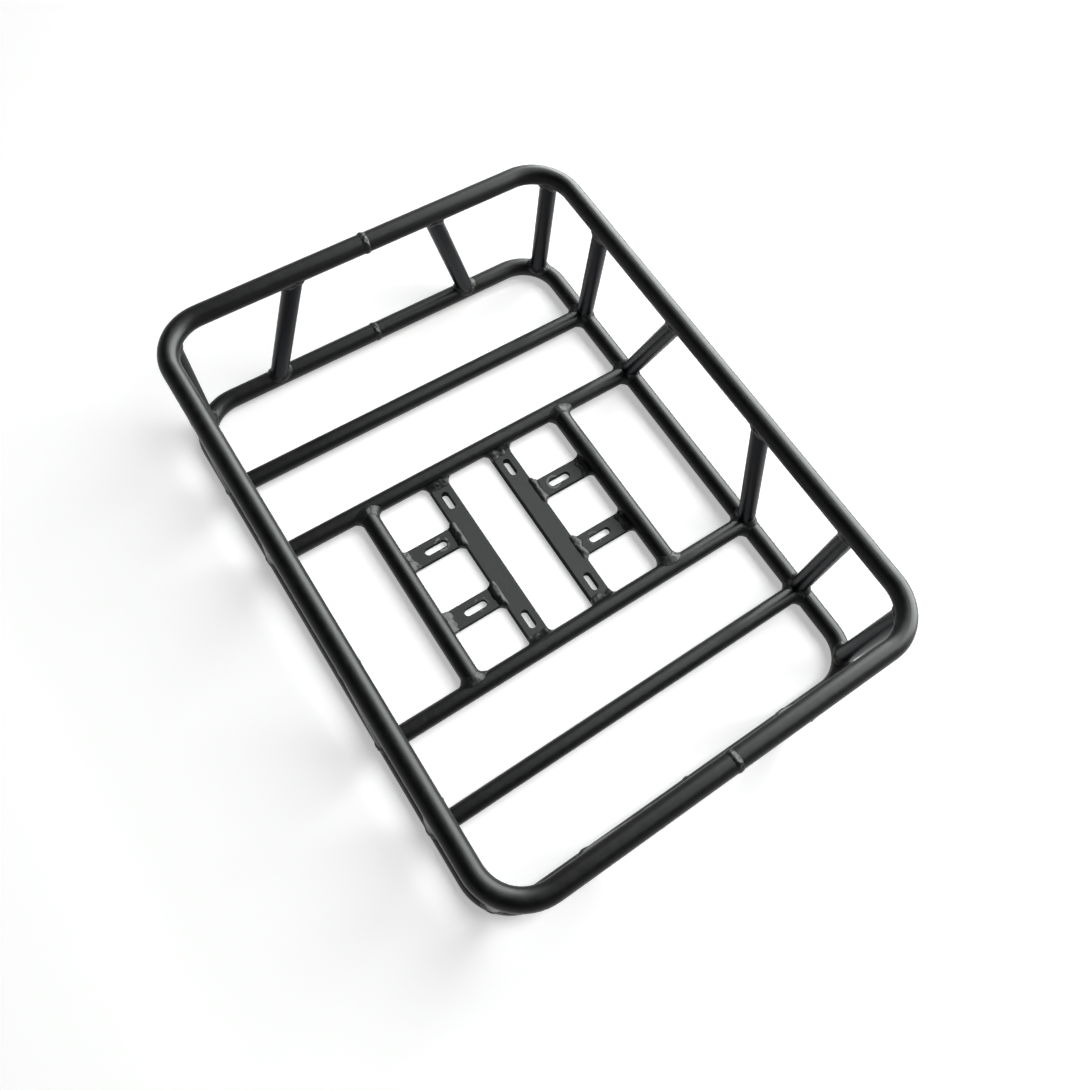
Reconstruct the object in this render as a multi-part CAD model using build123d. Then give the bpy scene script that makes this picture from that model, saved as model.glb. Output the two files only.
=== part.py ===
from build123d import *
from math import cos, radians, sin
import os

# Welded open luggage rack of bent steel tube: a rim and a base hoop of one size, posts between
# them, crossbars under the load, and slotted plates in the middle of the floor that bolt it down.
# Millimetres. X runs along the rack, Y across it, Z up from the plane that the plates bolt to.

# Tube stock
hoop_diameter = 19.0
hoop_wall = 1.5
crossbar_diameter = 18.0
crossbar_wall = 1.5
post_diameter = 18.0
post_wall = 1.5

# Rim and base hoop, measured over the outside of the tube, and the rise between their centrelines
hoop_length = 600.0
hoop_width = 445.0
bend_radius = 44.0
rim_rise = 140.0

# Bolting pattern and the plates that carry it
pitch_long = 150.0
pitch_short = 75.0
slot_width = 8.0
bar_slot_length = 21.0
strap_slot_length = 25.0
bar_width = 22.0
bar_thickness = 10.0
strap_width = 22.5
strap_thickness = 6.0
plate_edge_round = 1.0

# Floor tubes, and how far the plates hang below them
plate_drop = 3.5
bar_end_margin = 32.0
strap_end_margin = 41.5
crossbar_bay = 88.0
cope_depth = 3.0
strap_tuck = 5.0

# Posts: the corner posts stand this many degrees round the bend from the long side
corner_turn = 38.0
outer_post_inset = 2.5
inner_lean = 43.0

# Weld beads
tube_weld_leg = 2.5
bar_weld_leg = 4.0
strap_weld_leg = 2.0
seam_width = 6.0
seam_height = 1.2
smallest_bead = 5.0

# Derived sizes
hoop_radius = hoop_diameter / 2
crossbar_radius = crossbar_diameter / 2
half_run = (hoop_length - hoop_diameter) / 2
half_span = (hoop_width - hoop_diameter) / 2
base_height = plate_drop + hoop_radius
rim_height = base_height + rim_rise
inner_offset = pitch_long / 2 + bar_end_margin
outer_offset = inner_offset + crossbar_bay
long_tube_offset = pitch_long / 2 + strap_end_margin
bar_offset = pitch_short / 2
strap_offset = pitch_short / 2
bar_side = bar_offset + bar_width / 2
strap_bottom = (bar_thickness - strap_thickness) / 2
strap_top = strap_bottom + strap_thickness

sides = {"front": -1, "rear": 1}
ends = {"left": -1, "right": 1}
pieces = {}


# A straight round bar from one point to another
def rod(start, end, diameter):
    run = Vector(*end) - Vector(*start)
    return extrude(Plane(origin=start, z_dir=run) * Circle(diameter / 2), amount=run.length)


# A straight tube from one point to another
def tube(start, end, diameter, wall):
    return rod(start, end, diameter) - rod(start, end, diameter - 2 * wall)


# The centreline of one half of a hoop, from the middle of one end to the middle of the other
def half_hoop_line(height, y_sign):
    x = half_run
    y = y_sign * half_span
    corners = [(x, 0, height), (x, y, height), (-x, y, height), (-x, 0, height)]
    return FilletPolyline(*corners, radius=bend_radius)


# A solid round bar bent along a half hoop's centreline
def bent_rod(line, diameter):
    return sweep(Plane(origin=line @ 0, z_dir=line % 0) * Circle(diameter / 2), path=line)


# The point on a hoop's centreline where a corner post stands
def corner_point(height, x_sign, y_sign):
    x = half_run - bend_radius * (1 - sin(radians(corner_turn)))
    y = half_span - bend_radius * (1 - cos(radians(corner_turn)))
    return (x_sign * x, y_sign * y, height)


# A rectangular block between two corners
def block(low, high):
    size = [b - a for a, b in zip(low, high)]
    middle = [(a + b) / 2 for a, b in zip(low, high)]
    return Pos(*middle) * Box(*size)


# The bead that fills the corner between a stem and what it stands on
def bead(fat_stem, fat_seat, solids):
    shape = fat_stem & fat_seat
    for solid in solids:
        shape = shape - solid
    return [lump for lump in shape.solids() if lump.volume > smallest_bead]


# Hoops: each is two bent halves that meet at the middle of the short sides
solid_hoop = {}
fat_hoop = {}
hoop_height = {"rim": rim_height, "base": base_height}
for hoop, height in hoop_height.items():
    for side, y_sign in sides.items():
        line = half_hoop_line(height, y_sign)
        outside = bent_rod(line, hoop_diameter)
        solid_hoop[hoop, side] = outside
        fat_hoop[hoop, side] = bent_rod(line, hoop_diameter + 2 * tube_weld_leg)
        pieces[f"{hoop}_{side}_half"] = outside - bent_rod(line, hoop_diameter - 2 * hoop_wall)

# Crossbars lie across the base hoop, with their ends coped to it
crossbar_x = {}
for end, x_sign in ends.items():
    crossbar_x[end, "outer"] = x_sign * outer_offset
    crossbar_x[end, "inner"] = x_sign * inner_offset
crossbar_ends = {}
solid_crossbar = {}
for (end, place), x in crossbar_x.items():
    start = (x, -half_span, base_height)
    finish = (x, half_span, base_height)
    crossbar_ends[end, place] = (start, finish)
    solid_crossbar[end, place] = rod(start, finish, crossbar_diameter)
    shape = tube(start, finish, crossbar_diameter, crossbar_wall)
    for side in sides:
        shape = shape - solid_hoop["base", side]
    pieces[f"crossbar_{end}_{place}"] = shape
inner_crossbars = [solid_crossbar[end, "inner"] for end in ends]

# Long tubes join the two inner crossbars at their own height
coped_x = inner_offset - crossbar_radius + cope_depth
solid_long_tube = {}
for side, y_sign in sides.items():
    y = y_sign * long_tube_offset
    start = (-coped_x, y, base_height)
    finish = (coped_x, y, base_height)
    solid_long_tube[side] = rod(start, finish, hoop_diameter)
    shape = tube(start, finish, hoop_diameter, hoop_wall)
    for crossbar in inner_crossbars:
        shape = shape - crossbar
    pieces[f"long_tube_{side}"] = shape

# Mount bars: thick flats between the inner crossbars, with a slot near each end
solid_bar = {}
for side, y_sign in sides.items():
    y = y_sign * bar_offset
    low = (-coped_x, y - bar_width / 2, 0)
    high = (coped_x, y + bar_width / 2, bar_thickness)
    shape = block(low, high)
    shape = fillet(shape.edges().filter_by(Axis.X), plate_edge_round)
    for crossbar in inner_crossbars:
        shape = shape - crossbar
    solid_bar[side] = shape
    for x_sign in ends.values():
        slot = Pos(x_sign * pitch_long / 2, y, 0) * SlotOverall(bar_slot_length, slot_width)
        shape = shape - extrude(slot, amount=bar_thickness)
    pieces[f"mount_bar_{side}"] = shape

# Straps: short flats from each mount bar out to the long tube beside it, with a slot each
strap_reach = long_tube_offset - hoop_radius + strap_tuck
solid_strap = {}
for side, y_sign in sides.items():
    for end, x_sign in ends.items():
        x = x_sign * strap_offset
        edge_y = sorted([y_sign * bar_side, y_sign * strap_reach])
        low = (x - strap_width / 2, edge_y[0], strap_bottom)
        high = (x + strap_width / 2, edge_y[1], strap_top)
        shape = block(low, high)
        shape = fillet(shape.edges().filter_by(Axis.Y), plate_edge_round)
        shape = shape - solid_long_tube[side]
        solid_strap[side, end] = shape
        slot = Pos(x, y_sign * pitch_long / 2, strap_bottom)
        slot = slot * SlotOverall(strap_slot_length, slot_width, rotation=90)
        pieces[f"strap_{side}_{end}"] = shape - extrude(slot, amount=strap_thickness)

# Post lines: each runs from the base hoop's centreline up to the rim's
post_lines = {}
post_seats = {}
for side, y_sign in sides.items():
    y = y_sign * half_span
    for end, x_sign in ends.items():
        foot = corner_point(base_height, x_sign, y_sign)
        head = corner_point(rim_height, x_sign, y_sign)
        post_lines[f"corner_post_{side}_{end}", side] = (foot, head)
        x = x_sign * (outer_offset - outer_post_inset)
        name = f"side_post_{side}_{end}_outer"
        post_lines[name, side] = ((x, y, base_height), (x, y, rim_height))
        post_seats[name] = solid_crossbar[end, "outer"]
        x = x_sign * inner_offset
        name = f"side_post_{side}_{end}_inner"
        post_lines[name, side] = ((x, y, base_height), (x - x_sign * inner_lean, y, rim_height))
        post_seats[name] = solid_crossbar[end, "inner"]
        foot = (x_sign * half_run, y_sign * long_tube_offset, base_height)
        head = (x_sign * half_run, y_sign * (long_tube_offset - inner_lean), rim_height)
        post_lines[f"end_post_{end}_{side}", side] = (foot, head)

# Posts, coped to both hoops and to the crossbar at their foot, and the beads round their ends
solid_post = {}
foot_beads = {}
head_beads = {}
for (name, side), (foot, head) in post_lines.items():
    solid = rod(foot, head, post_diameter)
    solid_post[name] = solid
    seats = [solid_hoop["base", side]]
    if name in post_seats:
        seats.append(post_seats[name])
    shape = tube(foot, head, post_diameter, post_wall) - solid_hoop["rim", side]
    for seat in seats:
        shape = shape - seat
    pieces[name] = shape
    fat_post = rod(foot, head, post_diameter + 2 * tube_weld_leg)
    foot_beads[name] = bead(fat_post, fat_hoop["base", side], [solid, *seats])
    head_beads[name] = bead(fat_post, fat_hoop["rim", side], [solid, solid_hoop["rim", side]])

# Beads round the ends of the crossbars, cut back where a post and its bead already lie
crossbar_beads = []
for (end, place), (start, finish) in crossbar_ends.items():
    fat_crossbar = rod(start, finish, crossbar_diameter + 2 * tube_weld_leg)
    for side in sides:
        post = f"side_post_{side}_{end}_{place}"
        solids = [solid_crossbar[end, place], solid_hoop["base", side], solid_post[post], *foot_beads[post]]
        crossbar_beads += bead(fat_crossbar, fat_hoop["base", side], solids)

# Beads round the ends of the long tubes and over the ends of the mount bars
long_tube_beads = []
bar_beads = []
for end, x_sign in ends.items():
    crossbar = solid_crossbar[end, "inner"]
    start, finish = crossbar_ends[end, "inner"]
    tube_fat_seat = rod(start, finish, crossbar_diameter + 2 * tube_weld_leg)
    bar_fat_seat = rod(start, finish, crossbar_diameter + 2 * bar_weld_leg)
    for side, y_sign in sides.items():
        y = y_sign * long_tube_offset
        near = (0, y, base_height)
        far = (x_sign * (coped_x + tube_weld_leg), y, base_height)
        fat_tube = rod(near, far, hoop_diameter + 2 * tube_weld_leg)
        long_tube_beads += bead(fat_tube, tube_fat_seat, [solid_long_tube[side], crossbar])
        y = y_sign * bar_offset
        reach = sorted([0, x_sign * coped_x])
        low = (reach[0], y - bar_width / 2, bar_thickness)
        high = (reach[1], y + bar_width / 2, bar_thickness + bar_weld_leg)
        bar_beads += bead(block(low, high), bar_fat_seat, [crossbar])

# Beads along both ends of each strap
strap_beads = []
for side, y_sign in sides.items():
    y = y_sign * long_tube_offset
    fat_tube = rod((-coped_x, y, base_height), (coped_x, y, base_height), hoop_diameter + 2 * tube_weld_leg)
    for end, x_sign in ends.items():
        x = x_sign * strap_offset
        left = x - strap_width / 2
        right = x + strap_width / 2
        edge_y = y_sign * bar_side
        corner = rod((left, edge_y, strap_top), (right, edge_y, strap_top), 2 * strap_weld_leg)
        over_strap = block((left, min(0, y), strap_top), (right, max(0, y), strap_top + tube_weld_leg))
        strap_beads += bead(corner, corner, [solid_bar[side], solid_strap[side, end]])
        strap_beads += bead(over_strap, fat_tube, [solid_long_tube[side]])

# Beads round the butt joints of the hoops
seam_beads = {}
for hoop, height in hoop_height.items():
    seam_beads[hoop] = []
    for x_sign in ends.values():
        start = (x_sign * half_run, -seam_width / 2, height)
        finish = (x_sign * half_run, seam_width / 2, height)
        ring = rod(start, finish, hoop_diameter + 2 * seam_height)
        ring = fillet(ring.edges().filter_by(GeomType.CIRCLE), seam_height * 0.75)
        seam_beads[hoop] += (ring - rod(start, finish, hoop_diameter)).solids()

pieces["post_foot_welds"] = Compound(children=sum(foot_beads.values(), []))
pieces["post_head_welds"] = Compound(children=sum(head_beads.values(), []))
pieces["crossbar_welds"] = Compound(children=crossbar_beads)
pieces["long_tube_welds"] = Compound(children=long_tube_beads)
pieces["mount_bar_welds"] = Compound(children=bar_beads)
pieces["strap_welds"] = Compound(children=strap_beads)
pieces["rim_seam_welds"] = Compound(children=seam_beads["rim"])
pieces["base_seam_welds"] = Compound(children=seam_beads["base"])

os.makedirs("parts", exist_ok=True)
for name, shape in pieces.items():
    export_step(shape, f"parts/{name}.step")
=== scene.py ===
import math
from typing import NamedTuple

import bmesh
import bpy
from mathutils import Matrix, Vector, noise


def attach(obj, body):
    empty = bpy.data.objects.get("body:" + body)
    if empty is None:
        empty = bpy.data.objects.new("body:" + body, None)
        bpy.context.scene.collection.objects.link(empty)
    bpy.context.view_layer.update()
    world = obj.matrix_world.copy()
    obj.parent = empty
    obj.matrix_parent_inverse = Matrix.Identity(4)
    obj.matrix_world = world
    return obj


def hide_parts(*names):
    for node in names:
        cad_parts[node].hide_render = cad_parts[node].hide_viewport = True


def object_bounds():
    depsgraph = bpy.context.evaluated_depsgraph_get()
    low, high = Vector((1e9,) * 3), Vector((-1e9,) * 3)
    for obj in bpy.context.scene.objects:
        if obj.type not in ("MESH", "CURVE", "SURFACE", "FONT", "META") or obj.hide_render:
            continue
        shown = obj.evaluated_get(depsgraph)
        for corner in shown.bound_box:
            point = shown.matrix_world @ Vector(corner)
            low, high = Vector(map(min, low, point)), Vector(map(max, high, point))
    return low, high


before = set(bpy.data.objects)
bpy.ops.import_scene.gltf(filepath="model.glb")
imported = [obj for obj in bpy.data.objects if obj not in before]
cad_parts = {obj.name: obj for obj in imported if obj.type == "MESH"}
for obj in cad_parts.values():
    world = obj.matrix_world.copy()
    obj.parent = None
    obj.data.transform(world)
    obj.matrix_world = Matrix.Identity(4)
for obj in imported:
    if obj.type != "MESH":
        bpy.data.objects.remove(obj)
cad_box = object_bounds()

SIGNS = (-1, 1)
UP = Vector((0, 0, 1))

# Sizes of the rack in metres, as in its solids
HOOP_RADIUS = 0.0095
CROSSBAR_RADIUS = 0.009
POST_RADIUS = 0.009
BEND_RADIUS = 0.044
HALF_RUN = 0.2905
HALF_SPAN = 0.213
BASE_HEIGHT = 0.013
RIM_HEIGHT = 0.153
INNER_CROSSBAR_X = 0.107
OUTER_CROSSBAR_X = 0.195
OUTER_POST_X = 0.1925
LONG_TUBE_Y = 0.1165
LONG_TUBE_END_X = 0.102
LEAN = 0.043
CORNER_TURN = math.radians(38)
BAR_Y = 0.0375
STRAP_X = 0.0375
STRAP_SLOT_Y = 0.075

# Half width, underside and top of the plates
BAR_SECTION = (0.011, 0.0, 0.010)
STRAP_SECTION = (0.01125, 0.002, 0.008)


class Weld(NamedTuple):
    """Sizes of a weld: its legs on the piece and on what that meets, how far its face is drawn out of the
    corner, and how far it laps over a top edge."""

    own_leg: float
    other_leg: float
    crown: float
    lap: float = 0.0


FOOT_WELD = Weld(own_leg=0.0052, other_leg=0.0050, crown=0.0022)
HEAD_WELD = Weld(own_leg=0.0046, other_leg=0.0042, crown=0.0012)
TUBE_WELD = Weld(own_leg=0.0082, other_leg=0.0078, crown=0.0018)
BAR_WELD = Weld(own_leg=0.0090, other_leg=0.0066, crown=0.0018)
STRAP_TO_BAR_WELD = Weld(own_leg=0.0062, other_leg=0.0064, crown=0.0018, lap=0.0042)
STRAP_TO_TUBE_WELD = Weld(own_leg=0.0108, other_leg=0.0066, crown=0.0008)

# Low rings of weld metal round the hoops' butt joints
SEAM_WIDTH = 0.007
SEAM_CROWN = 0.0005
SEAM_DEPTH = 0.001
SEAM_EDGE_SWELL = 0.3

# Ripples and lumps of the weld metal
RIPPLE_PITCH = 0.0024
LUMP_MIDDLE = 0.42
POST_METAL = {"Ripple height": 0.0003, "Lump size": 0.0055, "Lump height": 0.0013}
TUBE_METAL = {"Ripple height": 0.00012, "Lump size": 0.0060, "Lump height": 0.0012}
BAR_METAL = {"Ripple height": 0.0001, "Lump size": 0.0075, "Lump height": 0.0021}
STRAP_METAL = {"Ripple height": 0.0001, "Lump size": 0.0064, "Lump height": 0.0025}
SEAM_METAL = {"Ripple height": 0.0002, "Lump size": 0.0034, "Lump height": 0.0016}

# How a weld's edges waver and thin out, how its turns are rounded, and how deep it goes into the metal
TOE_WAVE = 0.006
TOE_SHARE = 0.35
TOE_SHIFT = 9.5
LEAST_LEG = 0.4
LAP_LIFT = 0.75
ROUNDING = 8
EDGE_SWELL = 0.05
EDGE_DEPTH = 0.0002
LIP_DEPTH = 0.0005
BURIED_DEPTH = 0.002

# Steps of the welds' meshes: round a tube, up a plate's side, round its edge, over its top, across a weld
TUBE_STEPS = 96
SEAM_STEPS = 72
SIDE_STEPS = 8
EDGE_STEPS = 5
TOP_STEPS = 16
FILLET_STEPS = 8
FADE_STEPS = 6
PLATE_EDGE = 0.001

# Search for the places where surfaces meet
SLOPE_STEP = 1e-5
MOST_STEPS = 80
TOUCHING = 1e-6
REACHED = 1e-5
LOWEST_FACING = -0.7


# Node trees: a tree to build in, and a field that any of its sockets gives
class Field:
    """One value, colour or vector in a node tree. Arithmetic on it adds Math nodes."""

    def __init__(self, tree, socket):
        self.tree = tree
        self.socket = socket

    def math(self, operation, *values):
        return self.tree.add("ShaderNodeMath", {"operation": operation}, dict(enumerate((self, *values))))

    def __add__(self, other):
        return self.math("ADD", other)

    def __radd__(self, other):
        return self.math("ADD", other)

    def __sub__(self, other):
        return self.math("SUBTRACT", other)

    def __rsub__(self, other):
        return self.math("MULTIPLY_ADD", -1.0, other)

    def __mul__(self, other):
        return self.math("MULTIPLY", other)

    def __rmul__(self, other):
        return self.math("MULTIPLY", other)

    def __rtruediv__(self, other):
        return self.math("POWER", -1.0) * other

    def between(self, low, high):
        """0 below low, 1 above high, and smooth from one to the other."""
        settings = {"interpolation_type": "SMOOTHSTEP"}
        inputs = {"Value": self, "From Min": low, "From Max": high, "To Min": 0.0, "To Max": 1.0}
        return self.tree.add("ShaderNodeMapRange", settings, inputs)


class Tree:
    """A node tree that grows by one method."""

    def __init__(self, nodes, links):
        self.nodes = nodes
        self.links = links

    def add(self, kind, settings=None, inputs=None, output=0):
        """Adds a node, sets it up, fills its sockets and gives one of its outputs."""
        node = self.nodes.new(kind)
        for name, value in (settings or {}).items():
            setattr(node, name, value)
        for name, value in (inputs or {}).items():
            if isinstance(value, Field):
                self.links.new(value.socket, node.inputs[name])
            else:
                node.inputs[name].default_value = value
        return Field(self, node.outputs[output]) if node.outputs else node

    def mix(self, share, first, second):
        """A colour between two others."""
        inputs = {"Factor": share, "A": first, "B": second}
        return self.add("ShaderNodeMix", {"data_type": "RGBA"}, inputs, output="Result")

    def mix_shaders(self, share, first, second):
        """A shader between two others."""
        return self.add("ShaderNodeMixShader", {}, {0: share, 1: first, 2: second})

    def noise(self, place, scale, detail=2.0, rough=0.5):
        """Soft random patches, from 0 to 1."""
        inputs = {"Vector": place, "Scale": scale, "Detail": detail, "Roughness": rough}
        return self.add("ShaderNodeTexNoise", {}, inputs)


# Colours of the paints and of what shows through or lies on them, with painted shade on the plates' sides
# and painted reflection on the posts and welds
TUBE_BLACKS = ((0.0009, 0.0012, 0.0010, 1), (0.0021, 0.0026, 0.0022, 1))
# The posts' blacks are bluer than the tubes': black paint plus a painted blue reflection of cool
# surroundings in their upright sides
POST_BLACKS_AND_PAINTED_BLUE_REFLECTION = ((0.0006, 0.0013, 0.0046, 1), (0.0015, 0.0029, 0.0088, 1))
WELD_BLACKS = ((0.0030, 0.0034, 0.0036, 1), (0.0075, 0.0082, 0.0084, 1))
PLATE_CHARCOALS = ((0.0150, 0.0168, 0.0166, 1), (0.0215, 0.0238, 0.0236, 1))
# Painted shade: a near-black for the plates' upright sides and slot walls
PLATE_SIDE_PAINTED_SHADE = (0.0012, 0.0014, 0.0014, 1)
DUST_GREY = (0.045, 0.047, 0.044, 1)
RUBBED_GREY = (0.030, 0.031, 0.030, 1)
SPECKLE_GREY = (0.034, 0.037, 0.0365, 1)
SCUFF_GREY = (0.090, 0.095, 0.094, 1)
# Grey of bare steel on the welds, also used as painted glints
STEEL_AND_GLINT_GREY = (0.090, 0.094, 0.094, 1)
WASHER_GREY = (0.26, 0.265, 0.26, 1)

# From upright to lying, as a normal's height
LYING = (0.1, 1.0)

# Washer marks on the straps: their place, each ring's radius and strength, and the soft edge of its line
WASHER_Y = 0.068
WASHER_RINGS = ((0.0063, 1.0), (0.0074, 0.6))
WASHER_LINE = (0.0002, 0.0006)
NEAR_END_MARKS = 0.4
WHOLE_MARK = 0.8

# The step from one half of the rack to the other
ACROSS_MIDDLE = (-0.01, 0.01)


# Paint finishes
def start_material(name):
    """A new material, its empty tree and the place on the piece."""
    material = bpy.data.materials.new(name)
    material.use_nodes = True
    material.node_tree.nodes.clear()
    tree = Tree(material.node_tree.nodes, material.node_tree.links)
    place = tree.add("ShaderNodeTexCoord", output="Object")
    return material, tree, place


def finish_material(material, tree, shader):
    """Gives a material its shader."""
    tree.add("ShaderNodeOutputMaterial", {}, {"Surface": shader})
    return material


def coat(tree, colour, rough, relief, relief_depth, gloss):
    """A layer of paint with its relief."""
    bump = tree.add("ShaderNodeBump", {}, {"Strength": 1.0, "Distance": relief_depth, "Height": relief})
    inputs = {"Base Color": colour, "Roughness": rough, "Normal": bump, "Specular IOR Level": gloss}
    return tree.add("ShaderNodeBsdfPrincipled", {}, inputs)


def upward(tree):
    """How far the surface faces up, from -1 to 1."""
    normal = tree.add("ShaderNodeNewGeometry", output="Normal")
    return tree.add("ShaderNodeSeparateXYZ", {}, {"Vector": normal}, output="Z")


def satin_tube_paint(name, blacks, gloss):
    """Satin black coat on the tubes, with orange peel, faint dust on top and a few rubbed spots."""
    material, tree, place = start_material(name)
    patches = tree.noise(place, scale=14.0, detail=3.0)
    peel = tree.noise(place, scale=520.0, rough=0.6)
    grain = tree.noise(place, scale=1000.0, detail=1.0)
    rubs = tree.noise(place, scale=85.0, detail=5.0, rough=0.65).between(0.66, 0.74)
    dust = upward(tree).between(*LYING) * tree.noise(place, scale=160.0, detail=4.0).between(0.35, 0.8)
    colour = tree.mix(patches, *blacks)
    colour = tree.mix(dust * 0.05, colour, DUST_GREY)
    colour = tree.mix(rubs * 0.20, colour, RUBBED_GREY)
    rough = 0.31 + patches * 0.10 + dust * 0.06 + rubs * 0.08
    relief = peel * 0.6 + grain * 0.4
    shader = coat(tree, colour, rough, relief, relief_depth=0.00011, gloss=gloss)
    return finish_material(material, tree, shader)


def washer_marks(tree, place):
    """Rings left by washers: faint and broken, stronger at the far end, and nearly whole on one strap."""
    x = tree.add("ShaderNodeSeparateXYZ", {}, {"Vector": place}, output="X")
    y = tree.add("ShaderNodeSeparateXYZ", {}, {"Vector": place}, output="Y")
    off_x = x.math("ABSOLUTE") - STRAP_X
    off_y = y.math("ABSOLUTE") - WASHER_Y
    away = (off_x * off_x + off_y * off_y).math("SQRT")
    far_end = 1 - x.between(*ACROSS_MIDDLE)
    whole = far_end * y.between(*ACROSS_MIDDLE) * WHOLE_MARK
    broken = tree.noise(place, scale=150.0, detail=3.0).between(0.44, 0.56).math("MAXIMUM", whole)
    rings = 0.0
    for radius, strength in WASHER_RINGS:
        off_ring = (away - radius).math("ABSOLUTE")
        rings = (1 - off_ring.between(*WASHER_LINE)) * strength + rings
    return rings * broken * (NEAR_END_MARKS + far_end * (1 - NEAR_END_MARKS))


def flat_plate_paint():
    """Flatter charcoal coat on the plates, with scuffs and washer marks. The plates' sides and the walls of
    the slots are a dull black of painted shade."""
    material, tree, place = start_material("flat_plate_paint")
    marks = washer_marks(tree, place)
    patches = tree.noise(place, scale=45.0, detail=4.0)
    speckle = tree.noise(place, scale=1500.0)
    stretch = {"Vector": place, "Rotation": (0, 0, 0.6), "Scale": (1.0, 7.0, 1.0)}
    drawn_out = tree.add("ShaderNodeMapping", {}, stretch)
    hairlines = tree.noise(drawn_out, scale=90.0, detail=6.0, rough=0.7).between(0.63, 0.70)
    scuffs = tree.noise(place, scale=110.0, detail=5.0, rough=0.65).between(0.66, 0.76)
    colour = tree.mix(patches, *PLATE_CHARCOALS)
    colour = tree.mix(speckle * 0.25, colour, SPECKLE_GREY)
    colour = tree.mix(scuffs * 0.35 + hairlines * 0.25, colour, SCUFF_GREY)
    colour = tree.mix(marks * 0.8, colour, WASHER_GREY)
    rough = 0.56 + patches * 0.12 - marks * 0.12
    relief = speckle * 0.5 + hairlines * 0.2 - marks * 0.3
    face = coat(tree, colour, rough, relief, relief_depth=0.00018, gloss=0.18)
    # Upright faces take a near-black, low-gloss coat as painted shade, and faces that lie flat keep the
    # charcoal
    side = coat(tree, PLATE_SIDE_PAINTED_SHADE, 0.6, relief, relief_depth=0.00018, gloss=0.04)
    lying = upward(tree).math("ABSOLUTE").between(*LYING)
    return finish_material(material, tree, tree.mix_shaders(lying, side, face))


def glossy_weld_paint():
    """Thick glossy black coat over the weld metal, thin enough in some spots for the steel to show; the grey
    of these spots also stands in for painted glints.
    """
    material, tree, place = start_material("glossy_weld_paint")
    patches = tree.noise(place, scale=60.0, detail=3.0)
    pits = tree.noise(place, scale=420.0, detail=3.0, rough=0.6)
    steel_and_glint_spots = tree.noise(place, scale=170.0, detail=3.0, rough=0.6).between(0.64, 0.74)
    colour = tree.mix(patches, *WELD_BLACKS)
    # Grey spots of bare steel that also serve as painted glints on the weld lumps
    colour = tree.mix(steel_and_glint_spots * 0.30, colour, STEEL_AND_GLINT_GREY)
    rough = 0.32 + patches * 0.14 + steel_and_glint_spots * 0.05
    shader = coat(tree, colour, rough, pits, relief_depth=0.00014, gloss=0.25)
    return finish_material(material, tree, shader)


tube_paint = satin_tube_paint("satin_tube_paint", TUBE_BLACKS, gloss=0.22)
# The posts take the same satin coat with bluer blacks, which paint in a blue reflection
post_paint_and_painted_reflection = satin_tube_paint("satin_post_paint_painted_reflection", POST_BLACKS_AND_PAINTED_BLUE_REFLECTION, gloss=0.16)
plate_paint = flat_plate_paint()
weld_paint = glossy_weld_paint()

# The tubes and plates keep their solids' shapes and take the paints
for name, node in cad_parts.items():
    paint = tube_paint
    if "_post_" in name:
        paint = post_paint_and_painted_reflection
    elif name.startswith(("mount_bar_", "strap_")):
        paint = plate_paint
    node.data.materials.clear()
    node.data.materials.append(paint)


# Surfaces that meet, each as the distance from a point to it
def hoop_gap(height):
    """Distance from a point to the surface of the hoop at this height."""

    def gap(point):
        beyond_x = abs(point.x) - (HALF_RUN - BEND_RADIUS)
        beyond_y = abs(point.y) - (HALF_SPAN - BEND_RADIUS)
        outside = math.hypot(max(beyond_x, 0), max(beyond_y, 0))
        inside = min(max(beyond_x, beyond_y), 0)
        return math.hypot(outside + inside - BEND_RADIUS, point.z - height) - HOOP_RADIUS

    return gap


def crossbar_gap(x):
    """Distance from a point to the surface of the crossbar at x."""

    def gap(point):
        return math.hypot(point.x - x, point.z - BASE_HEIGHT) - CROSSBAR_RADIUS

    return gap


def tube_gap(start, end, radius):
    """Distance from a point to the surface of a straight tube."""
    along = (end - start).normalized()

    def gap(point):
        offset = point - start
        return (offset - along * offset.dot(along)).length - radius

    return gap


def plate_gap(middle, across, section):
    """Distance from a point to the surface of a long flat plate."""
    half_width, low, top = section

    def gap(point):
        beside = abs((point - middle).dot(across)) - half_width
        above = abs(point.z - (low + top) / 2) - (top - low) / 2
        return math.hypot(max(beside, 0), max(above, 0)) + min(max(beside, above), 0)

    return gap


def slope(gap, point):
    """The direction in which the distance grows."""
    rise = []
    for axis in Matrix.Identity(3):
        rise.append(gap(point + axis * SLOPE_STEP) - gap(point - axis * SLOPE_STEP))
    return Vector(rise).normalized()


def advance(point, along, reach, gap):
    """Moves a point along until it touches the other surface or has gone as far as it may."""
    travelled = 0.0
    for _ in range(MOST_STEPS):
        clear = gap(point + along * travelled)
        travelled = min(travelled + clear, reach)
        if clear < TOUCHING or travelled == reach:
            break
    return point + along * travelled


def settle(point, gap):
    """The nearest point just under a surface."""
    return point - slope(gap, point) * (gap(point) + EDGE_DEPTH)


# Sections of the welds
def tube_outline(along, radius):
    """Points round a tube's section, each with its outward direction."""
    across = along.orthogonal().normalized()
    beside = along.cross(across)
    outline = []
    for i in range(TUBE_STEPS):
        angle = 2 * math.pi * i / TUBE_STEPS
        outward = across * math.cos(angle) + beside * math.sin(angle)
        outline.append((outward * radius, outward))
    return outline


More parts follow.
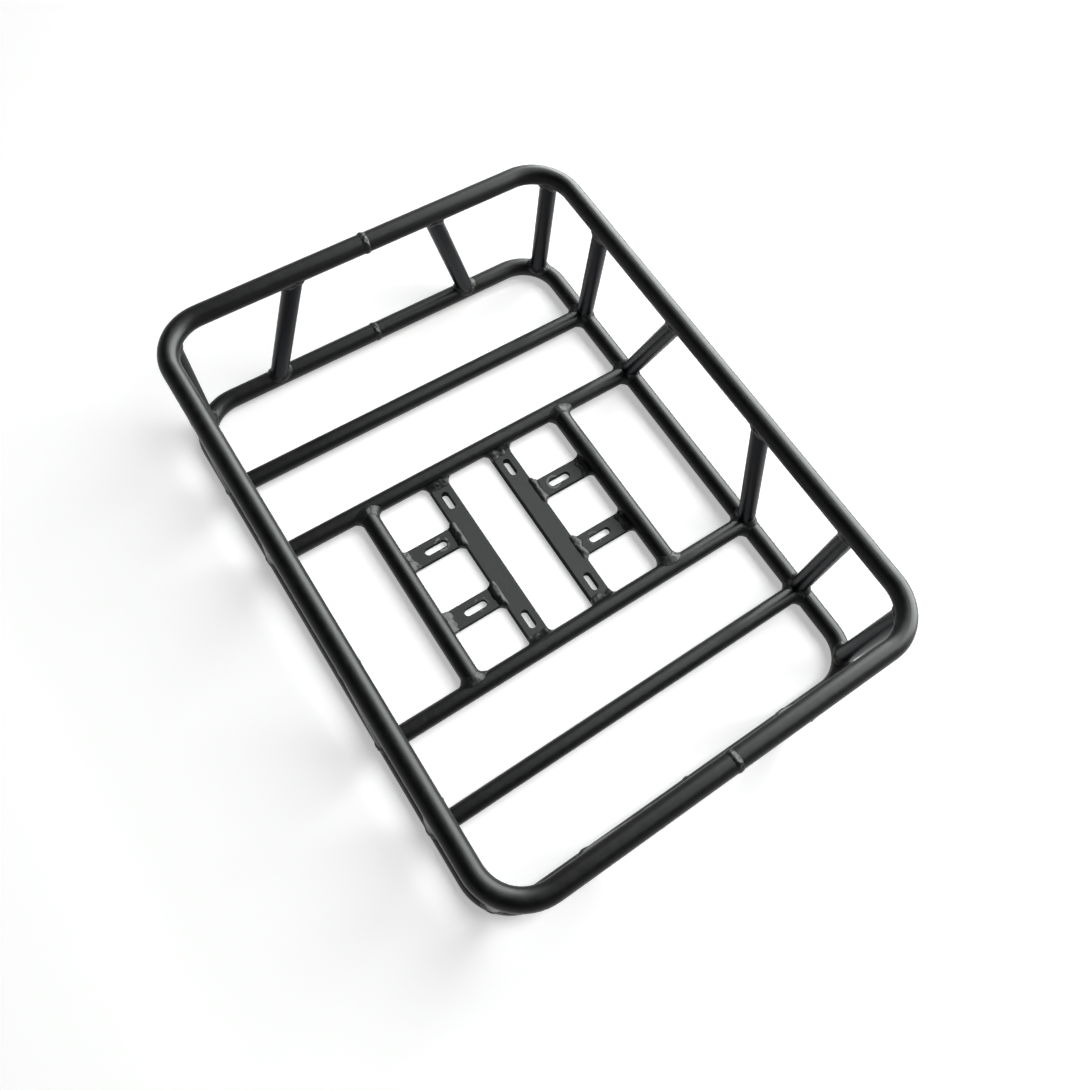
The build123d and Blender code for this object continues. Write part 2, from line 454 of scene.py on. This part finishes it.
def plate_outline(across, section):
    """Points up one side of a plate, over its top and down the other side, with their outward directions."""
    half_width, low, top = section
    flat = half_width - PLATE_EDGE
    rise = top - PLATE_EDGE - low
    side = [(-half_width, low + rise * i / SIDE_STEPS, -1.0, 0.0) for i in range(SIDE_STEPS)]
    for i in range(EDGE_STEPS + 1):
        angle = math.pi * (1 - i / (2 * EDGE_STEPS))
        turn = (math.cos(angle), math.sin(angle))
        side.append((PLATE_EDGE * turn[0] - flat, top - PLATE_EDGE + PLATE_EDGE * turn[1], *turn))
    side += [(flat * (i / TOP_STEPS - 1), top, 0.0, 1.0) for i in range(1, TOP_STEPS)]
    other_side = [(-u, z, -facing_u, facing_z) for u, z, facing_u, facing_z in reversed(side)]
    outline = []
    for u, z, facing_u, facing_z in side + [(0.0, top, 0.0, 1.0)] + other_side:
        outline.append((across * u + UP * z, across * facing_u + UP * facing_z))
    return outline


def uneven(point, turn):
    """A share near 1 that wavers along a weld's edge, in another way for each turn."""
    return 1 + TOE_SHARE * noise.noise(point / TOE_WAVE + UP * TOE_SHIFT * turn)


def fillet(outline, start, end, own_gap, other_gap, weld, closed):
    """Sections of the weld metal in the corner between a piece's end and the surface that it meets."""
    run = end - start
    along = run.normalized()
    corners = [advance(start + offset, along, run.length, other_gap) for offset, _ in outline]
    count = len(corners)
    rails = []
    for i, (_, outward) in enumerate(outline):
        corner = corners[i]
        before = corners[i - 1] if closed or i else corner
        after = corners[(i + 1) % count] if closed or i < count - 1 else corner
        path = (after - before).normalized()
        facing = slope(other_gap, corner)
        up_own = path.cross(outward).normalized()
        if up_own.dot(along) > 0:
            up_own.negate()
        up_other = path.cross(facing).normalized()
        if up_other.dot(outward + along) < 0:
            up_other.negate()
        square = math.sqrt(max(0.0, 1 - outward.dot(facing) ** 2))
        share = LEAST_LEG + (1 - LEAST_LEG) * square
        lap = weld.lap * max(outward.z, 0.0)
        own_edge = corner + up_own * (weld.own_leg * share * uneven(corner, 0))
        other_edge = corner + up_other * (weld.other_leg * share * uneven(corner, 1)) - facing * lap
        open_side = (outward + facing).normalized()
        pull = corner + open_side * weld.crown + UP * LAP_LIFT * lap
        rails.append((own_edge, pull, other_edge, corner - open_side * BURIED_DEPTH))
    if closed:
        rails = rounded(rails)
    sections = []
    for own_edge, pull, other_edge, buried in rails:
        first = settle(own_edge, own_gap)
        last = settle(other_edge, other_gap)
        sections.append(fillet_section(first, pull, last, buried))
    return sections, closed


def rounded(rails):
    """Takes the sharp turns out of a ring of sections."""
    count = len(rails)
    smooth = []
    for i in range(count):
        near = [rails[(i + shift) % count] for shift in range(-ROUNDING, ROUNDING + 1)]
        smooth.append([sum(points, Vector()) / len(near) for points in zip(*near)])
    return smooth


def fillet_section(first, pull, last, buried):
    """A curve from edge to edge, closed through a point inside the metal. Each point has its swell."""
    section = []
    for i in range(FILLET_STEPS + 1):
        t = i / FILLET_STEPS
        point = first * (1 - t) ** 2 + pull * 2 * t * (1 - t) + last * t ** 2
        section.append((point, EDGE_SWELL + (1 - EDGE_SWELL) * math.sin(math.pi * t)))
    low_first = first + (buried - first).normalized() * LIP_DEPTH
    low_last = last + (buried - last).normalized() * LIP_DEPTH
    return [(low_first, 0.0), *section, (low_last, 0.0), (buried, 0.0)]


def tube_fillet(start, end, radius, other_gap, weld):
    """The weld all round the end of a tube."""
    outline = tube_outline((end - start).normalized(), radius)
    return fillet(outline, start, end, tube_gap(start, end, radius), other_gap, weld, closed=True)


def plate_fillet(start, end, section, other_gap, weld):
    """The weld up the sides and over the top of a plate's end, where that touches."""
    run = end - start
    along = run.normalized()
    across = UP.cross(run).normalized()
    touching = []
    for offset, outward in plate_outline(across, section):
        reached = advance(start + offset, along, run.length, other_gap)
        if other_gap(reached) < REACHED and slope(other_gap, reached).z > LOWEST_FACING:
            touching.append((offset, outward))
    own_gap = plate_gap(start, across, section)
    return fillet(touching, start, end, own_gap, other_gap, weld, closed=False)


def seam(sx, height):
    """Sections of the low ring of weld metal round a hoop's butt joint."""
    middle = Vector((sx * HALF_RUN, 0.0, height))
    sections = []
    for i in range(SEAM_STEPS):
        angle = 2 * math.pi * i / SEAM_STEPS
        outward = Vector((math.cos(angle), 0.0, math.sin(angle)))
        section = []
        for j in range(FILLET_STEPS + 1):
            t = j / FILLET_STEPS
            bulge = math.sin(math.pi * t)
            reach = HOOP_RADIUS - EDGE_DEPTH + SEAM_CROWN * bulge
            point = middle + outward * reach + Vector((0, SEAM_WIDTH * (t - 0.5), 0))
            section.append((point, SEAM_EDGE_SWELL + (1 - SEAM_EDGE_SWELL) * bulge))
        section.append((middle + outward * (HOOP_RADIUS - SEAM_DEPTH), 0.0))
        sections.append(section)
    return sections, True


# Weld metal is laid along those sections with ripples and lumps
def weld_metal_tree():
    """Geometry nodes that swell a strip of weld metal along its normals."""
    group = bpy.data.node_groups.new("weld_metal", "GeometryNodeTree")
    sockets = {"Geometry": "NodeSocketGeometry"}
    for name in ("Ripple height", "Lump size", "Lump height", "Seed"):
        sockets[name] = "NodeSocketFloat"
    sockets["Finish"] = "NodeSocketMaterial"
    for name, kind in sockets.items():
        group.interface.new_socket(name, in_out="INPUT", socket_type=kind)
    group.interface.new_socket("Geometry", in_out="OUTPUT", socket_type="NodeSocketGeometry")
    tree = Tree(group.nodes, group.links)
    given = {name: tree.add("NodeGroupInput", output=name) for name in sockets}
    ripples = tree.add("GeometryNodeInputNamedAttribute", {"data_type": "FLOAT"}, {"Name": "ripples"})
    swell = tree.add("GeometryNodeInputNamedAttribute", {"data_type": "FLOAT"}, {"Name": "swell"})
    place = tree.add("GeometryNodeInputPosition")
    blobs = {"Vector": place, "W": given["Seed"], "Scale": 1 / given["Lump size"], "Detail": 2.0}
    lumps = tree.add("ShaderNodeTexNoise", {"noise_dimensions": "4D"}, blobs) - LUMP_MIDDLE
    ripple = (ripples * math.pi).math("SINE").math("ABSOLUTE") * given["Ripple height"]
    amount = (lumps * given["Lump height"] * 2 + ripple) * swell
    normal = tree.add("GeometryNodeInputNormal")
    offset = tree.add("ShaderNodeVectorMath", {"operation": "SCALE"}, {"Vector": normal, "Scale": amount})
    metal = tree.add("GeometryNodeSetPosition", {}, {"Geometry": given["Geometry"], "Offset": offset})
    for name in ("ripples", "swell"):
        metal = tree.add("GeometryNodeRemoveAttribute", {}, {"Geometry": metal, "Name": name})
    metal = tree.add("GeometryNodeSetShadeSmooth", {}, {"Geometry": metal})
    metal = tree.add("GeometryNodeRealizeInstances", {}, {"Geometry": metal})
    metal = tree.add("GeometryNodeSetMaterial", {}, {"Geometry": metal, "Material": given["Finish"]})
    tree.add("NodeGroupOutput", {}, {"Geometry": metal})
    return group


weld_tree = weld_metal_tree()


def strip_mesh(name, strips):
    """One mesh of all the strips, with the place along each in ripples and the swell across it."""
    shell = bmesh.new()
    ripple_layer = shell.verts.layers.float.new("ripples")
    swell_layer = shell.verts.layers.float.new("swell")
    for sections, closed in strips:
        middles = [section[FILLET_STEPS // 2][0] for section in sections]
        steps = [(after - before).length for before, after in zip(middles, middles[1:] + middles[:1])]
        count = len(sections)
        spacing = RIPPLE_PITCH
        if closed:
            spacing = sum(steps) / round(sum(steps) / RIPPLE_PITCH)
        travelled = 0.0
        rows = []
        for i, (section, step) in enumerate(zip(sections, steps)):
            fade = 1.0 if closed else min(1.0, i / FADE_STEPS, (count - 1 - i) / FADE_STEPS)
            row = []
            for point, swell in section:
                vertex = shell.verts.new(point)
                vertex[ripple_layer] = travelled / spacing
                vertex[swell_layer] = swell * fade
                row.append(vertex)
            rows.append(row)
            travelled += step
        for i in range(count if closed else count - 1):
            row = rows[i]
            ahead = rows[(i + 1) % count]
            for j in range(len(row)):
                k = (j + 1) % len(row)
                shell.faces.new((row[j], ahead[j], ahead[k], row[k]))
        if not closed:
            shell.faces.new(rows[0])
            shell.faces.new(rows[-1])
    bmesh.ops.recalc_face_normals(shell, faces=shell.faces)
    mesh = bpy.data.meshes.new(name)
    shell.to_mesh(mesh)
    shell.free()
    return mesh


def lay_welds(joint, strips, metal, seed):
    """Makes one piece of all the welds of one kind of joint."""
    name = joint + "_beads"
    guide = bpy.data.objects.new(name + "_guide", strip_mesh(name + "_guide", strips))
    bpy.context.scene.collection.objects.link(guide)
    modifier = guide.modifiers.new("weld_metal", "NODES")
    modifier.node_group = weld_tree
    wanted = {**metal, "Seed": seed, "Finish": weld_paint}
    for item in weld_tree.interface.items_tree:
        if item.in_out == "INPUT" and item.name in wanted:
            modifier[item.identifier] = wanted[item.name]
    evaluated = guide.evaluated_get(bpy.context.evaluated_depsgraph_get())
    mesh = bpy.data.meshes.new_from_object(evaluated)
    guide.modifiers.remove(modifier)
    bpy.data.objects.remove(guide)
    mesh.name = name
    piece = bpy.data.objects.new(name, mesh)
    bpy.context.scene.collection.objects.link(piece)
    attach(piece, "root")
    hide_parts(joint + "_welds")


# Places of the welds
def post_lines():
    """Foot and head of every post's centreline."""
    lines = []
    corner_x = HALF_RUN - BEND_RADIUS * (1 - math.sin(CORNER_TURN))
    corner_y = HALF_SPAN - BEND_RADIUS * (1 - math.cos(CORNER_TURN))
    spots = [
        ((corner_x, corner_y), (corner_x, corner_y)),
        ((OUTER_POST_X, HALF_SPAN), (OUTER_POST_X, HALF_SPAN)),
        ((INNER_CROSSBAR_X, HALF_SPAN), (INNER_CROSSBAR_X - LEAN, HALF_SPAN)),
        ((HALF_RUN, LONG_TUBE_Y), (HALF_RUN, LONG_TUBE_Y - LEAN)),
    ]
    for sx in SIGNS:
        for sy in SIGNS:
            for foot, head in spots:
                low = Vector((sx * foot[0], sy * foot[1], BASE_HEIGHT))
                high = Vector((sx * head[0], sy * head[1], RIM_HEIGHT))
                lines.append((low, high))
    return lines


base_gap = hoop_gap(BASE_HEIGHT)
rim_gap = hoop_gap(RIM_HEIGHT)
feet = []
heads = []
for foot, head in post_lines():
    middle = (foot + head) / 2
    feet.append(tube_fillet(middle, foot, POST_RADIUS, base_gap, FOOT_WELD))
    heads.append(tube_fillet(middle, head, POST_RADIUS, rim_gap, HEAD_WELD))
lay_welds("post_foot", feet, POST_METAL, seed=2.0)
lay_welds("post_head", heads, POST_METAL, seed=3.0)

crossbar_ends = []
tube_ends = []
bar_ends = []
strap_ends = []
for sx in SIGNS:
    for sy in SIGNS:
        for x in (INNER_CROSSBAR_X, OUTER_CROSSBAR_X):
            middle = Vector((sx * x, 0, BASE_HEIGHT))
            end = Vector((sx * x, sy * HALF_SPAN, BASE_HEIGHT))
            crossbar_ends.append(tube_fillet(middle, end, CROSSBAR_RADIUS, base_gap, TUBE_WELD))

        inner_gap = crossbar_gap(sx * INNER_CROSSBAR_X)
        tube_middle = Vector((0, sy * LONG_TUBE_Y, BASE_HEIGHT))
        tube_end = Vector((sx * LONG_TUBE_END_X, sy * LONG_TUBE_Y, BASE_HEIGHT))
        tube_ends.append(tube_fillet(tube_middle, tube_end, HOOP_RADIUS, inner_gap, TUBE_WELD))

        bar_middle = Vector((0, sy * BAR_Y, 0))
        bar_end = Vector((sx * INNER_CROSSBAR_X, sy * BAR_Y, 0))
        bar_ends.append(plate_fillet(bar_middle, bar_end, BAR_SECTION, inner_gap, BAR_WELD))

        strap_middle = Vector((sx * STRAP_X, sy * STRAP_SLOT_Y, 0))
        at_bar = (BAR_Y, plate_gap(bar_middle, Vector((0, 1, 0)), BAR_SECTION), STRAP_TO_BAR_WELD)
        at_tube = (LONG_TUBE_Y, tube_gap(tube_middle, tube_end, HOOP_RADIUS), STRAP_TO_TUBE_WELD)
        for y, met_gap, weld in (at_bar, at_tube):
            end = Vector((sx * STRAP_X, sy * y, 0))
            strap_ends.append(plate_fillet(strap_middle, end, STRAP_SECTION, met_gap, weld))
lay_welds("crossbar", crossbar_ends, TUBE_METAL, seed=4.0)
lay_welds("long_tube", tube_ends, TUBE_METAL, seed=5.0)
lay_welds("mount_bar", bar_ends, BAR_METAL, seed=6.0)
lay_welds("strap", strap_ends, STRAP_METAL, seed=7.0)

lay_welds("rim_seam", [seam(sx, RIM_HEIGHT) for sx in SIGNS], SEAM_METAL, seed=8.0)
lay_welds("base_seam", [seam(sx, BASE_HEIGHT) for sx in SIGNS], SEAM_METAL, seed=9.0)

# Studio: a pale floor and wall, a soft light overhead, and a window and a skylight that the paint mirrors
WHITE = (1, 1, 1, 1)
FLOOR_HALF = 40.0
FLOOR_DROP = 0.0002
FLOOR_WHITE = (0.80, 0.80, 0.80, 1)
FLOOR_GLOW = 0.45
FLOOR_FAR_GLOW = 0.16
FLOOR_FAR = (0.9, 3.5)
WALL_FADE = (0.26, 0.55)
WALL_LEVEL = 0.60
WORLD_LEVEL = 0.03


def seen_rays(tree):
    """1 for the rays that see the background, by themselves or in a mirror."""
    seen = tree.add("ShaderNodeLightPath", output="Is Camera Ray")
    for kind in ("Is Glossy Ray", "Is Transmission Ray"):
        seen = seen.math("MAXIMUM", tree.add("ShaderNodeLightPath", output=kind))
    return seen


def pale_floor():
    """White, and as bright as the wall far from the rack."""
    material, tree, place = start_material("pale_floor")
    away = tree.add("ShaderNodeVectorMath", {"operation": "LENGTH"}, {"Vector": place}, output="Value")
    matt = tree.add("ShaderNodeBsdfDiffuse", {}, {"Color": FLOOR_WHITE})
    lift = FLOOR_GLOW + FLOOR_FAR_GLOW * away.between(*FLOOR_FAR)
    glow = tree.add("ShaderNodeEmission", {}, {"Color": lift})
    both = tree.add("ShaderNodeAddShader", {}, {0: matt, 1: glow})
    return finish_material(material, tree, tree.mix_shaders(seen_rays(tree), matt, both))


def studio_world():
    """A white wall all round that fades into a dark ceiling, with a little light everywhere."""
    world = bpy.data.worlds.new("studio")
    world.use_nodes = True
    world.node_tree.nodes.clear()
    tree = Tree(world.node_tree.nodes, world.node_tree.links)
    place = tree.add("ShaderNodeTexCoord", output="Generated")
    height = tree.add("ShaderNodeSeparateXYZ", {}, {"Vector": place}, output="Z")
    wall = 1 - height.between(*WALL_FADE)
    level = WORLD_LEVEL + WALL_LEVEL * (wall * seen_rays(tree))
    background = tree.add("ShaderNodeBackground", {}, {"Color": WHITE, "Strength": level})
    tree.add("ShaderNodeOutputWorld", {}, {"Surface": background})
    return world


def soft_light(name, place, aim, size, watts, colour):
    """A rectangular lamp that faces its aim."""
    light = bpy.data.lights.new(name, "AREA")
    light.shape = "RECTANGLE"
    light.size, light.size_y = size
    light.energy = watts
    light.color = colour
    lamp = bpy.data.objects.new(name, light)
    lamp.location = place
    lamp.rotation_euler = (Vector(aim) - Vector(place)).to_track_quat("-Z", "Y").to_euler()
    bpy.context.scene.collection.objects.link(lamp)
    return lamp


floor_mesh = bpy.data.meshes.new("floor")
floor_corners = [(u * FLOOR_HALF, v * FLOOR_HALF, 0) for u, v in ((-1, -1), (1, -1), (1, 1), (-1, 1))]
floor_mesh.from_pydata(floor_corners, [], [(0, 1, 2, 3)])
floor_mesh.materials.append(pale_floor())
floor = bpy.data.objects.new("floor", floor_mesh)
floor.location.z = cad_box[0].z - FLOOR_DROP
bpy.context.scene.collection.objects.link(floor)

overhead = soft_light(
    "overhead",
    place=(0.10, 1.10, 1.95),
    aim=(0, 0, 0),
    size=(1.8, 1.8),
    watts=62,
    colour=(0.98, 1.0, 0.98),
)
window = soft_light(
    "window",
    place=(-0.50, 1.50, 1.20),
    aim=(-0.50, 0, 1.20),
    size=(3.2, 2.2),
    watts=340,
    colour=(0.955, 1.0, 0.975),
)
skylight = soft_light(
    "skylight",
    place=(-0.60, 0.68, 2.00),
    aim=(-0.60, 0.68, 0),
    size=(4.0, 0.75),
    watts=28,
    colour=(0.955, 1.0, 0.975),
)
overhead.visible_glossy = False
for lamp in (window, skylight):
    lamp.visible_diffuse = False
    lamp.visible_camera = False
bpy.context.scene.world = studio_world()
bpy.context.scene.view_settings.view_transform = "Standard"

# Camera at the photograph's place, with its lens and film width in millimetres
CAMERA_PLACE = Vector((0.2697, -0.2411, 0.8500))
CAMERA_AIM = Vector((0.0152, 0.0227, 0.0))
CAMERA_ROLL = math.radians(13.43)
CAMERA_LENS = 29.79
CAMERA_FILM = 36.0
camera_data = bpy.data.cameras.new("camera")
camera_data.sensor_width = CAMERA_FILM
camera_data.lens = CAMERA_LENS
camera = bpy.data.objects.new("camera", camera_data)
look = (CAMERA_AIM - CAMERA_PLACE).to_track_quat("-Z", "Y").to_matrix().to_4x4()
camera.matrix_world = Matrix.Translation(CAMERA_PLACE) @ look @ Matrix.Rotation(CAMERA_ROLL, 4, "Z")
bpy.context.scene.collection.objects.link(camera)
bpy.context.scene.camera = camera
